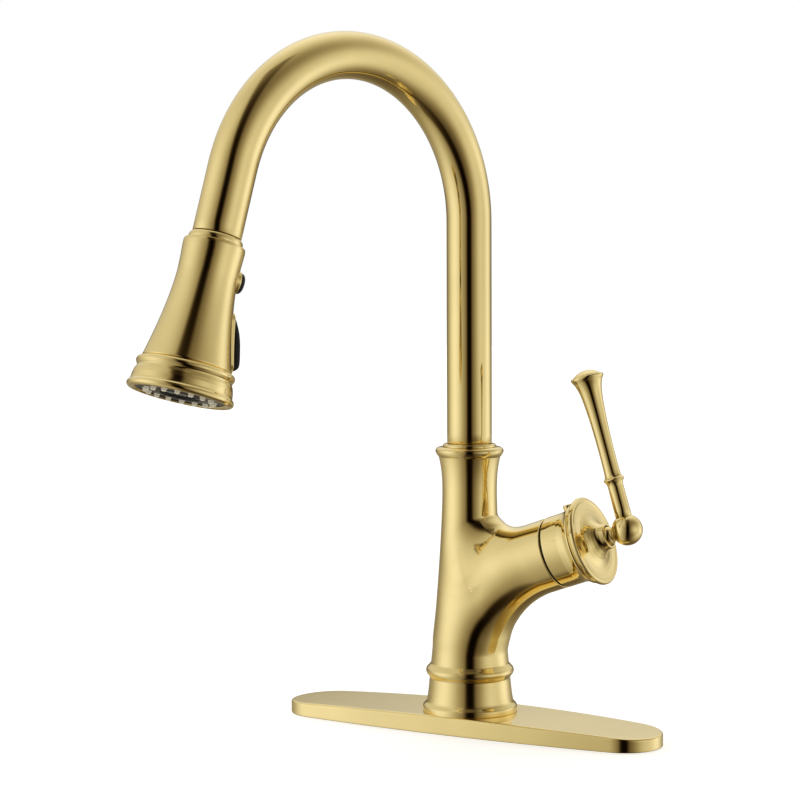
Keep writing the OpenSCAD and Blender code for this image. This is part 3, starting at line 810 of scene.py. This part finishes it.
def build_shell():
    """The trumpet with a slot for the rocker on its riser side."""
    outer = rounded(
        [(15.2, 44.25, 0), (16.2, 44.1, 0.4), (17.0, 44.6, 0.7), (17.3, 46.0, 1.5)]
        + [(17.28, 48.5, 4.0), (16.95, 55.0, 8.0), (16.8, 61.7, 0)]
    )
    low, high = ROCKER_S - SLOT_HALF[0], ROCKER_S + SLOT_HALF[0]
    stops = set(np.linspace(62.5, SHELL_END, 50))
    for step in (0, 0.15, 0.5, 1.1, 1.9, 2.9, SLOT_CORNER):
        stops.update((low + step, high - step))
    outer += [np.array((trumpet_r(s), s)) for s in sorted(stops)]
    line = [np.array(q) for q in outer]
    line.append(np.array((trumpet_r(SHELL_END) - SHELL_WALL, SHELL_END + 0.05)))
    across, around = 10, 118
    points, faces = [], []
    width = across + around
    for r, s in line:
        half = SLOT_HALF[1] - corner_cut(min(s - low, high - s), SLOT_CORNER)
        edge = math.asin(half / r)
        strip = np.linspace(-edge, edge, across + 1)[:-1]
        rest = np.linspace(edge, 2 * math.pi - edge, around + 1)[:-1]
        for a in np.concatenate([strip, rest]):
            points.append((r * math.cos(a), r * math.sin(a), s))
    for i in range(len(line) - 1):
        middle = (line[i][1] + line[i + 1][1]) / 2
        for k in range(width):
            if k < across and low < middle < high:
                continue
            j = (k + 1) % width
            faces.append([i * width + k, i * width + j, (i + 1) * width + j, (i + 1) * width + k])
    shell = add_mesh("shell", points, faces, HEAD)
    thick = shell.modifiers.new("wall", "SOLIDIFY")
    thick.thickness = SHELL_WALL * MM
    thick.offset = -1
    return shell


def build_face_ring():
    line = rounded(
        [(22.9, 112.0, 0), (23.3, 113.45, 0.1), (24.7, 113.45, 0.2), (25.5, 113.75, 0.4)]
        + [(26.6, 114.3, 0.8), (27.45, 115.5, 1.0), (27.5, 116.7, 1.0), (26.9, 117.9, 0.7)]
        + [(26.35, 118.6, 0.5), (26.5, 119.4, 0.6), (27.3, 121.0, 2.5), (27.95, 123.5, 3.0)]
        + [(28.25, 126.2, 1.0), (28.5, 127.3, 0.6), (29.3, 128.1, 0.6), (29.8, 129.2, 0.8)]
        + [(29.65, 130.5, 0.8), (28.6, 131.4, 0.7), (26.9, 131.6, 0.7), (25.5, 131.1, 0.5)]
        + [(25.0, 130.1, 0.4), (24.95, 126.0, 0.2), (22.9, 126.0, 0), (22.9, 112.0, 0)]
    )
    return lathe("face_ring", line, HEAD, 144)


def build_spray_face():
    line = rounded(
        [(0, 127.6, 0), (11.0, 127.6, 0.1), (11.0, 130.7, 0.2), (11.6, 131.0, 0.3)]
        + [(13.2, 131.0, 0.5), (14.2, 130.6, 0.5), (16.2, 130.5, 0.5), (22.2, 130.5, 0.5)]
        + [(23.2, 131.0, 0.4), (24.2, 131.0, 0.4), (24.8, 130.4, 0.3), (24.8, 126.2, 0)]
        + [(0, 126.2, 0)]
    )
    return lathe("spray_face", line, HEAD, 128)


def build_nozzles():
    profile = rounded(
        [(0, 130.2, 0), (1.75, 130.2, 0.1), (1.75, 130.7, 0.2), (1.55, 130.9, 0.2)]
        + [(1.4, 132.1, 0.4), (0.9, 132.4, 0.2), (0.5, 132.35, 0.1), (0.45, 131.5, 0.1)]
        + [(0, 131.5, 0)]
    )
    parts = []
    spots = [(NOZZLE_RING_R, 360 / NOZZLES * k) for k in range(NOZZLES)]
    for radius, degrees in spots:
        place = HEAD @ turn("Z", degrees) @ move(radius, 0, 0)
        parts.append(lathe("nozzle", profile, place, 20))
    return joined("nozzles", parts)


def build_aerator():
    ring = rounded(
        [(9.3, 127.7, 0), (9.3, 130.2, 0.2), (9.8, 130.6, 0.3), (10.6, 130.4, 0.2)]
        + [(10.8, 127.7, 0), (9.3, 127.7, 0)]
    )
    return lathe("outlet_ring", ring, HEAD, 96)


def build_screen():
    """Round wires crossing in the outlet."""
    bm = bmesh.new()
    reach, pitch, wire = 9.25, 1.65, 0.26
    levels = {0: FACE_S - 1.15, 90: FACE_S - 0.97}
    for direction in (0, 90):
        for k in range(-5, 6):
            offset = pitch * k
            length = 2 * math.sqrt(max(reach**2 - offset**2, 0.5))
            place = (
                HEAD
                @ turn("Z", direction)
                @ move(0, offset, levels[direction])
                @ turn("Y", 90)
            )
            made = bmesh.ops.create_cone(
                bm, cap_ends=True, segments=8, radius1=wire, radius2=wire, depth=length
            )
            for v in made["verts"]:
                v.co = Vector(placed([v.co], place)[0])
    mesh = bpy.data.meshes.new("outlet_screen")
    bm.to_mesh(mesh)
    bm.free()
    mesh.polygons.foreach_set("use_smooth", [True] * len(mesh.polygons))
    obj = bpy.data.objects.new("outlet_screen", mesh)
    bpy.context.scene.collection.objects.link(obj)
    return obj


def joined(name, parts):
    """One object from several."""
    bm = bmesh.new()
    for part in parts:
        bm.from_mesh(part.data)
        bpy.data.objects.remove(part)
    mesh = bpy.data.meshes.new(name)
    bm.to_mesh(mesh)
    bm.free()
    mesh.polygons.foreach_set("use_smooth", [True] * len(mesh.polygons))
    obj = bpy.data.objects.new(name, mesh)
    bpy.context.scene.collection.objects.link(obj)
    return obj


def build_button():
    """The round button's cap and its bezel, on the riser side of the head."""
    place = HEAD @ move(0, 0, BUTTON_S) @ turn("Y", 90)
    bezel = lathe(
        "button_bezel",
        rounded(
            [(6.0, 14.2, 0), (6.0, 17.5, 0.2), (6.2, 17.75, 0.1), (6.5, 17.7, 0.2)]
            + [(6.85, 17.3, 0.4), (6.9, 14.2, 0), (6.0, 14.2, 0)]
        ),
        place,
        96,
    )
    cap = lathe(
        "button_cap",
        rounded(
            [(0, 15.5, 0), (5.7, 15.5, 0.1), (5.85, 15.7, 0.1), (5.85, 19.3, 1.0)]
            + [(4.8, 20.35, 1.5), (2.6, 20.72, 2.0), (0, 20.8, 0)]
        ),
        place,
        96,
    )
    return bezel, cap


def slab(name, half, low, high, inner, outer, corner, crown=0.0, edge=0.4):
    """A bar with rounded ends along the head's riser side, from below to above its skin."""
    turn_in = [math.pi / 2 * k / 5 for k in range(6)]
    side = [(half - edge + edge * math.sin(a), 1.0, edge * (1 - math.cos(a))) for a in turn_in]
    middle = np.linspace(-half + edge, half - edge, 10)[1:-1]
    section = [(-half, 0.0, 0.0)] + [(-y, up, drop) for y, up, drop in side[::-1]]
    section += [(y, 1.0, 0.0) for y in middle] + side + [(half, 0.0, 0.0)]
    ends = corner * (1 - np.cos(np.linspace(0, math.pi / 2, 12)))
    inside = np.linspace(low + corner, high - corner, 26)[1:-1]
    points, faces = [], []
    for s in np.concatenate([low + ends, inside, (high - ends)[::-1]]):
        gap = min(s - low, high - s)
        fall = corner_cut(gap, edge)
        narrow = 1 - corner_cut(gap, corner) / half
        for y, up, drop in section:
            top = trumpet_r(s) + outer(s) - drop - fall - crown * (y / half) ** 2
            base = trumpet_r(s) + inner
            points.append((base + (top - base) * up, y * narrow, s))
    width, rows = len(section), len(ends) * 2 + len(inside)
    for i in range(rows - 1):
        for k in range(width):
            j = (k + 1) % width
            faces.append([i * width + k, i * width + j, (i + 1) * width + j, (i + 1) * width + k])
    faces.append(list(range(width))[::-1])
    faces.append([(rows - 1) * width + k for k in range(width)])
    return add_mesh(name, points, faces, HEAD)


def build_rocker():
    """The long rocker, thickest towards its lower end."""
    length, half = ROCKER_HALF
    line = smooth_line(
        [(-length, 1.3), (-10.95, 2.8), (-7.3, 4.1), (-3.65, 4.9), (0, 5.3), (3.65, 5.4)]
        + [(7.3, 5.4), (10.95, 5.1), (12.9, 4.4), (length, 2.9)]
    )
    along, heights = np.array(line).T

    def rise(s):
        return float(np.interp(s - ROCKER_S, along, heights))

    ends = (ROCKER_S - length, ROCKER_S + length)
    return slab("rocker", half, *ends, -0.6, rise, ROCKER_CORNER, crown=0.6, edge=0.8)


def build_rocker_bezel():
    """A rounded frame: one bar with a smaller one cut out of it."""
    length, half = BEZEL_HALF
    ends = (ROCKER_S - length, ROCKER_S + length)
    outer = slab("rocker_bezel", half, *ends, -2.2, lambda s: 0.6, BEZEL_CORNER)
    ends = (ends[0] + BEZEL_WALL, ends[1] - BEZEL_WALL)
    corner = BEZEL_CORNER - BEZEL_WALL
    inner = slab("cutter", half - BEZEL_WALL, *ends, -5.0, lambda s: 4.0, corner)
    cut = outer.modifiers.new("opening", "BOOLEAN")
    cut.operation = "DIFFERENCE"
    cut.solver = "EXACT"
    cut.object = inner
    bpy.context.view_layer.update()
    dg = bpy.context.evaluated_depsgraph_get()
    mesh = bpy.data.meshes.new_from_object(outer.evaluated_get(dg))
    outer.modifiers.clear()
    outer.data = mesh
    bpy.data.objects.remove(inner)
    mesh.polygons.foreach_set("use_smooth", [False] * len(mesh.polygons))
    return outer


# ---- handle ----


def build_hub():
    line = rounded(
        [(19.9, 64.9, 0), (21.4, 64.9, 0.3), (21.9, 65.4, 0.3), (21.9, 75.6, 8.0)]
        + [(22.2, 78.6, 6.0), (22.9, 80.8, 6.0), (23.9, 82.6, 5.0), (24.75, 83.7, 0.5)]
        + [(24.85, 84.4, 0.3), (24.6, 85.0, 0.3), (24.1, 85.45, 0.15), (24.1, 86.1, 0.15)]
        + [(25.2, 86.4, 0.4), (26.5, 87.0, 0.6), (27.0, 88.0, 0.6), (27.0, 89.3, 0.7)]
        + [(26.3, 90.15, 0.6), (25.0, 90.2, 0.8), (23.4, 89.85, 1.0), (20.5, 89.7, 4.0)]
        + [(17.0, 89.95, 5.0), (14.5, 90.6, 5.0), (12.3, 91.7, 4.0), (10.5, 93.3, 4.0)]
        + [(8.9, 95.2, 4.0), (8.1, 97.2, 3.0), (7.8, 98.7, 1.5), (7.6, 99.8, 0.3)]
        + [(7.2, 100.2, 0.2), (6.35, 100.1, 0.1), (6.3, 99.3, 0.2), (6.3, 96.5, 1.0)]
        + [(7.0, 93.8, 2.0), (11.5, 90.0, 1.0), (18.5, 88.2, 0.5), (19.9, 86.0, 0.5)]
        + [(19.9, 64.9, 0)]
    )
    return lathe("hub", line, VALVE, 160)


def build_hub_plug():
    """The small round plug on the hub's upper side, with a round socket in its top."""
    place = VALVE @ move(0, 0, PLUG_S) @ turn("Y", -90)
    line = rounded(
        [(1.5, 24.0, 0), (1.5, 25.2, 0.1), (1.75, 25.4, 0.1), (2.45, 25.35, 0.25)]
        + [(2.8, 24.9, 0.3), (2.8, 21.4, 0), (0, 21.4, 0), (0, 24.0, 0), (1.5, 24.0, 0)]
    )
    return lathe("hub_plug_cap", line, place, 60)


def build_ball():
    """The pivot, the neck and the ball in one turned line along the branch."""
    line = [(0, PIVOT_S - PIVOT_R)]
    for a in np.linspace(-84, 40, 30):
        t = math.radians(a)
        line.append((PIVOT_R * math.cos(t), PIVOT_S + PIVOT_R * math.sin(t)))
    neck = smooth_line([(4.3, 102.4), (4.15, 103.0), (4.15, 103.4), (4.4, 104.0)])
    line += [tuple(q) for q in neck]
    start = math.degrees(math.asin(-(BALL_S - 104.05) / BALL_R))
    for a in np.linspace(start, 86, 54):
        t = math.radians(a)
        line.append((BALL_R * math.cos(t), BALL_S + BALL_R * math.sin(t)))
    line.append((0, BALL_S + BALL_R))
    return lathe("ball", line, VALVE, 96)


def build_rod():
    line = [(0, 7.7), (4.6, 7.7), (4.9, 8.0), (4.86, 12), (4.8, 17), (4.72, 22), (4.7, 26.6)]
    ridge = smooth_line(
        [(4.72, 27.4), (4.95, 28.5), (5.4, 29.5), (5.95, 30.2), (6.2, 30.6), (6.2, 30.95)]
        + [(5.95, 31.35), (5.4, 32.0), (4.98, 33.0), (4.82, 34.2)]
    )
    stem = smooth_line(
        [(4.74, 36), (4.66, 41), (4.66, 46), (4.7, 52), (4.93, 61), (5.33, 70), (5.92, 78)]
        + [(6.65, 84), (7.5, 87.8), (8.55, 90.6), (9.4, 92.0)]
    )
    rim = smooth_line(
        [(9.65, 92.4), (9.88, 92.85), (9.95, 93.35), (9.8, 93.95), (9.4, 94.3), (9.0, 94.4)]
    )
    line += [tuple(q) for q in ridge] + [tuple(q) for q in stem]
    line += [tuple(q) for q in rim] + [(8.3, 94.4), (0, 94.4)]
    return lathe("lever_rod_skin", line, LEVER, 112)


def build_tip():
    line = [(0, 94.42), (8.2, 94.42), (8.42, 94.5)]
    radius = 12.2
    centre = 94.4 + 3.55 - radius
    for a in np.linspace(46.2, 89, 24):
        t = math.radians(a)
        line.append((radius * math.cos(t), centre + radius * math.sin(t)))
    line.append((0, centre + radius))
    return lathe("lever_cap", line, LEVER, 112)


def build_neck_ring():
    line = rounded(
        [(13.3, 174.65, 0), (16.4, 174.65, 0.1), (16.4, 175.6, 0.5), (15.8, 176.4, 0.4)]
        + [(14.9, 176.55, 0.2), (13.3, 176.55, 0), (13.3, 174.65, 0)]
    )
    return lathe("trim_ring", line, WORLD, 128)


# ---- every piece in its place ----

finish_piece(build_plate(), "base", "satin_gold", "deck_plate")
finish_piece(build_casting(), "base", "satin_gold", "body_casting")
finish_piece(build_neck_ring(), "base", "satin_gold", "neck_ring")
finish_piece(build_tube(), "spout", "satin_gold", "spout_tube")
finish_piece(build_collar(), "spray_head", "satin_gold", "head_collar")
finish_piece(build_nose(), "spray_head", "satin_gold")
finish_piece(build_shell(), "spray_head", "satin_gold", "head_shell")
finish_piece(build_face_ring(), "spray_head", "satin_gold", "face_ring")
finish_piece(build_spray_face(), "spray_head", "black_plastic", "spray_face")
finish_piece(build_nozzles(), "spray_head", "nozzle_rubber", "spray_nozzles")
finish_piece(build_aerator(), "spray_head", "black_plastic", "aerator_housing")
finish_piece(build_screen(), "spray_head", "bright_steel", "aerator_screen")
bezel, cap = build_button()
finish_piece(bezel, "spray_head", "satin_gold", "button_bezel")
finish_piece(cap, "button", "black_plastic", "pause_button")
finish_piece(build_rocker_bezel(), "spray_head", "satin_gold", "rocker_bezel")
finish_piece(build_rocker(), "rocker", "black_plastic", "mode_rocker")
finish_piece(build_hub(), "hub", "satin_gold", "handle_hub")
finish_piece(build_hub_plug(), "hub", "satin_gold", "hub_plug")
finish_piece(build_ball(), "lever", "satin_gold", "lever_ball")
finish_piece(build_rod(), "lever", "satin_gold", "lever_rod")
finish_piece(build_tip(), "lever", "satin_gold", "lever_tip")

hose = build_hose()
hose.data.materials.append(MATERIALS["braided_hose"])
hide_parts("hose_reach")
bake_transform(hose)


# ---- stage: a pale floor and soft studio light ----


def build_floor():
    size = 6.0
    mesh = bpy.data.meshes.new("floor")
    level = -1e-4
    corners = [(x, y, level) for x, y in ((-size, -size), (size, -size), (size, size), (-size, size))]
    mesh.from_pydata(corners, [], [[0, 1, 2, 3]])
    floor = bpy.data.objects.new("floor", mesh)
    bpy.context.scene.collection.objects.link(floor)
    n = Nodes("floor_paper")
    grain = n.noise(n.place(), 30.0, 3.0)
    n.link(
        n.ramp(grain, (0.93, 0.93, 0.93, 1), (0.96, 0.96, 0.96, 1)),
        n.shader.inputs["Base Color"],
    )
    n.set(Roughness=0.9)
    n.shader.inputs["Emission Color"].default_value = (1, 1, 1, 1)
    n.shader.inputs["Emission Strength"].default_value = 0.62
    mesh.materials.append(n.material)
    floor.visible_glossy = False
    return floor


CAMERA_AT = np.array((0.62435, -1.16828, 0.28300))
FACING = math.degrees(math.atan2(CAMERA_AT[1], CAMERA_AT[0]))

# soft boxes: strength, degrees round from the camera, degrees up, tightness
SOFT_BOXES = [
    (0.84, -78.5, 0, 3.0),
    (0.42, 81, -33.5, 9.0),
    (0.85, 175, 43, 2.5),
    (0.25, -87.5, -56.5, 6.4),
    (0.67, 56, 11, 7.9),
    (0.2, -50, 54, 8.0),
    (0.75, 111.5, -4, 9.0),
]
# a dark flag, with the same four values
FLAG = (0.3, 44, 39.5, 5.6)
# the dark strip behind the camera: half its width, how square it is, how it fades upwards
STRIP_WIDTH, STRIP_EDGE, STRIP_FADE = 0.24, 2.2, 0.12
# the dark room behind the faucet: how dark, how high and how wide
BACK_SHADE, BACK_HEIGHT, BACK_WIDTH = 0.85, 0.13, 3.0
AMBIENT, DARKEST, BRIGHTNESS = 0.02, 0.003, 1.12
# how the light's colour warms as it weakens
LIGHT_TINT = [
    (0.0, (1.0, 0.62, 0.32)),
    (0.1, (1.0, 0.78, 0.47)),
    (0.3, (1.0, 0.89, 0.64)),
    (0.6, (1.0, 0.965, 0.83)),
    (0.95, (1.0, 1.0, 1.0)),
]


def direction(around, up):
    a, e = math.radians(FACING + around), math.radians(up)
    return (math.cos(e) * math.cos(a), math.cos(e) * math.sin(a), math.sin(e))


def build_light():
    world = bpy.data.worlds.new("studio")
    bpy.context.scene.world = world
    world.use_nodes = True
    tree = world.node_tree
    tree.nodes.clear()

    def math_node(kind, a, b=None, c=None):
        node = tree.nodes.new("ShaderNodeMath")
        node.operation = kind
        for slot_index, value in enumerate((a, b, c)):
            if value is None:
                continue
            if isinstance(value, (int, float)):
                node.inputs[slot_index].default_value = value
            else:
                tree.links.new(value, node.inputs[slot_index])
        return node.outputs[0]

    coords = tree.nodes.new("ShaderNodeTexCoord")
    look = coords.outputs["Generated"]

    def dot(vector):
        node = tree.nodes.new("ShaderNodeVectorMath")
        node.operation = "DOT_PRODUCT"
        tree.links.new(look, node.inputs[0])
        node.inputs[1].default_value = vector
        return node.outputs["Value"]

    total = AMBIENT
    for strength, around, up, tight in SOFT_BOXES:
        near = math_node("SUBTRACT", dot(direction(around, up)), 1.0)
        glow = math_node("EXPONENT", math_node("MULTIPLY", near, tight))
        total = math_node("ADD", math_node("MULTIPLY", glow, strength), total)
    strength, around, up, tight = FLAG
    away = math_node("SUBTRACT", 1.0, dot(direction(around, up)))
    away = math_node("MULTIPLY", away, tight)
    away = math_node("MULTIPLY", math_node("MULTIPLY", away, away), -1.0)
    flag = math_node("MULTIPLY", math_node("EXPONENT", away), strength)
    total = math_node("MULTIPLY", total, math_node("SUBTRACT", 1.0, flag))
    # the narrow dark strip between the soft boxes in front
    front = dot(direction(0, 0))
    side = dot(direction(90, 0))
    across = math_node("MULTIPLY", math_node("MULTIPLY", side, side), 1 / STRIP_WIDTH**2)
    narrow = math_node("EXPONENT", math_node("MULTIPLY", math_node("POWER", across, STRIP_EDGE), -1.0))
    level = math_node("ADD", math_node("MULTIPLY", front, front), math_node("MULTIPLY", side, side))
    gap = math_node("MULTIPLY", narrow, math_node("GREATER_THAN", front, 0.0))
    gap = math_node("MULTIPLY", gap, math_node("POWER", level, STRIP_FADE))
    total = math_node("MULTIPLY", total, math_node("SUBTRACT", 1.0, gap))
    # the dark room straight behind the faucet, seen only in its edges
    height = dot((0.0, 0.0, 1.0))
    level = math_node("MULTIPLY", math_node("MULTIPLY", height, height), -1 / BACK_HEIGHT**2)
    behind = math_node("MAXIMUM", math_node("MULTIPLY", front, -1.0), 0.0)
    behind = math_node("POWER", behind, BACK_WIDTH)
    shade = math_node("MULTIPLY", math_node("EXPONENT", level), behind)
    shade = math_node("MULTIPLY", shade, BACK_SHADE)
    total = math_node("MULTIPLY", total, math_node("SUBTRACT", 1.0, shade))
    total = math_node("MULTIPLY", math_node("MAXIMUM", total, DARKEST), BRIGHTNESS)
    tint = tree.nodes.new("ShaderNodeValToRGB")
    for stop, (at, colour) in zip(tint.color_ramp.elements, (LIGHT_TINT[0], LIGHT_TINT[-1])):
        stop.position, stop.color = at, colour + (1,)
    for at, colour in LIGHT_TINT[1:-1]:
        tint.color_ramp.elements.new(at).color = colour + (1,)
    tree.links.new(total, tint.inputs["Fac"])

    studio = tree.nodes.new("ShaderNodeBackground")
    tree.links.new(tint.outputs["Color"], studio.inputs["Color"])
    tree.links.new(total, studio.inputs["Strength"])
    paper = tree.nodes.new("ShaderNodeBackground")
    paper.inputs["Color"].default_value = (1, 1, 1, 1)
    paper.inputs["Strength"].default_value = 1.0
    path = tree.nodes.new("ShaderNodeLightPath")
    choose = tree.nodes.new("ShaderNodeMixShader")
    tree.links.new(path.outputs["Is Camera Ray"], choose.inputs["Fac"])
    tree.links.new(studio.outputs[0], choose.inputs[1])
    tree.links.new(paper.outputs[0], choose.inputs[2])
    out = tree.nodes.new("ShaderNodeOutputWorld")
    tree.links.new(choose.outputs[0], out.inputs["Surface"])


def build_camera():
    yaw, pitch, roll = math.radians(29.966), math.radians(-3.441), math.radians(-0.239)
    ahead = np.array((-math.sin(yaw), math.cos(yaw), 0.0))
    right = np.array((math.cos(yaw), math.sin(yaw), 0.0))
    up = np.array((0.0, 0.0, 1.0))
    forward = math.cos(pitch) * ahead + math.sin(pitch) * up
    above = math.cos(pitch) * up - math.sin(pitch) * ahead
    right, above = (
        math.cos(roll) * right + math.sin(roll) * above,
        math.cos(roll) * above - math.sin(roll) * right,
    )
    data = bpy.data.cameras.new("camera")
    data.sensor_width = 36.0
    data.lens = 97.1
    data.clip_start, data.clip_end = 0.01, 50.0
    camera = bpy.data.objects.new("camera", data)
    pose = Matrix.Identity(4)
    for row in range(3):
        pose[row][0], pose[row][1] = right[row], above[row]
        pose[row][2], pose[row][3] = -forward[row], CAMERA_AT[row]
    camera.matrix_world = pose
    bpy.context.scene.collection.objects.link(camera)
    bpy.context.scene.camera = camera


build_floor()
build_light()
build_camera()
bpy.context.scene.view_settings.view_transform = "Standard"
